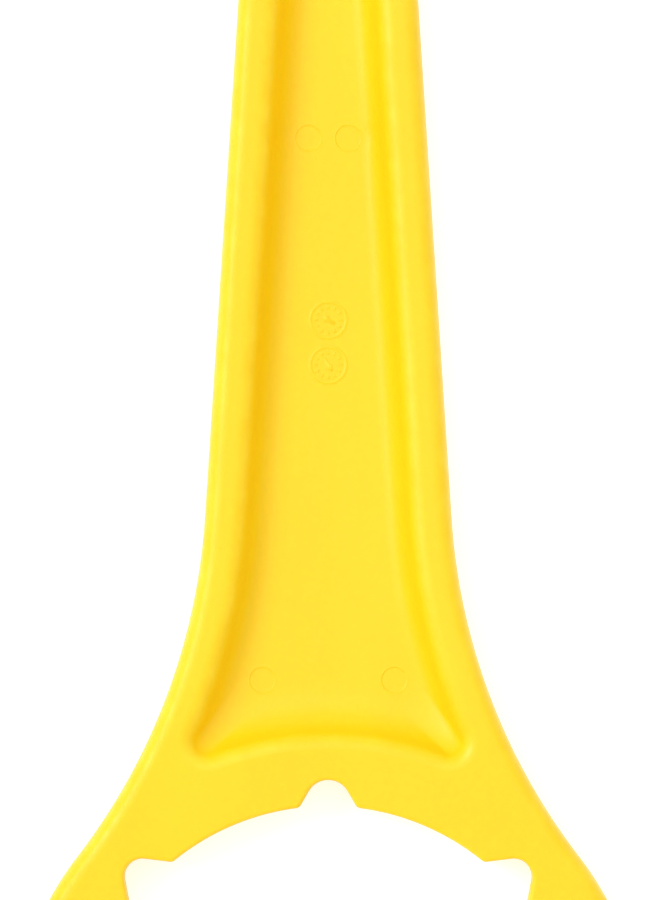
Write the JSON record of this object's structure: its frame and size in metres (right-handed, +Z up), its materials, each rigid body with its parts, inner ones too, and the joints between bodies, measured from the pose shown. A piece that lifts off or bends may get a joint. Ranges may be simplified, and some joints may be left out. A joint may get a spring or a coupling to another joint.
{
  "type": "tyre lever",
  "caption": "Flat moulded plastic tyre lever: channelled tapering handle, upturned bead tip, and a flared head whose arch carries notches.",
  "frame": {"origin": "middle of the flat underside: half way between the horn ends and the tip, and half way across", "axes": "+X across the lever, +Y along it to the bead tip, +Z up out of the channel"},
  "size_m": [0.0472, 0.1192, 0.0061],
  "materials": {
    "moulded_plastic": "satin, as moulded, evenly coloured right through"
  },
  "bodies": {
    "root": {"lever_body": "moulded_plastic"}
  },
  "joints": []
}
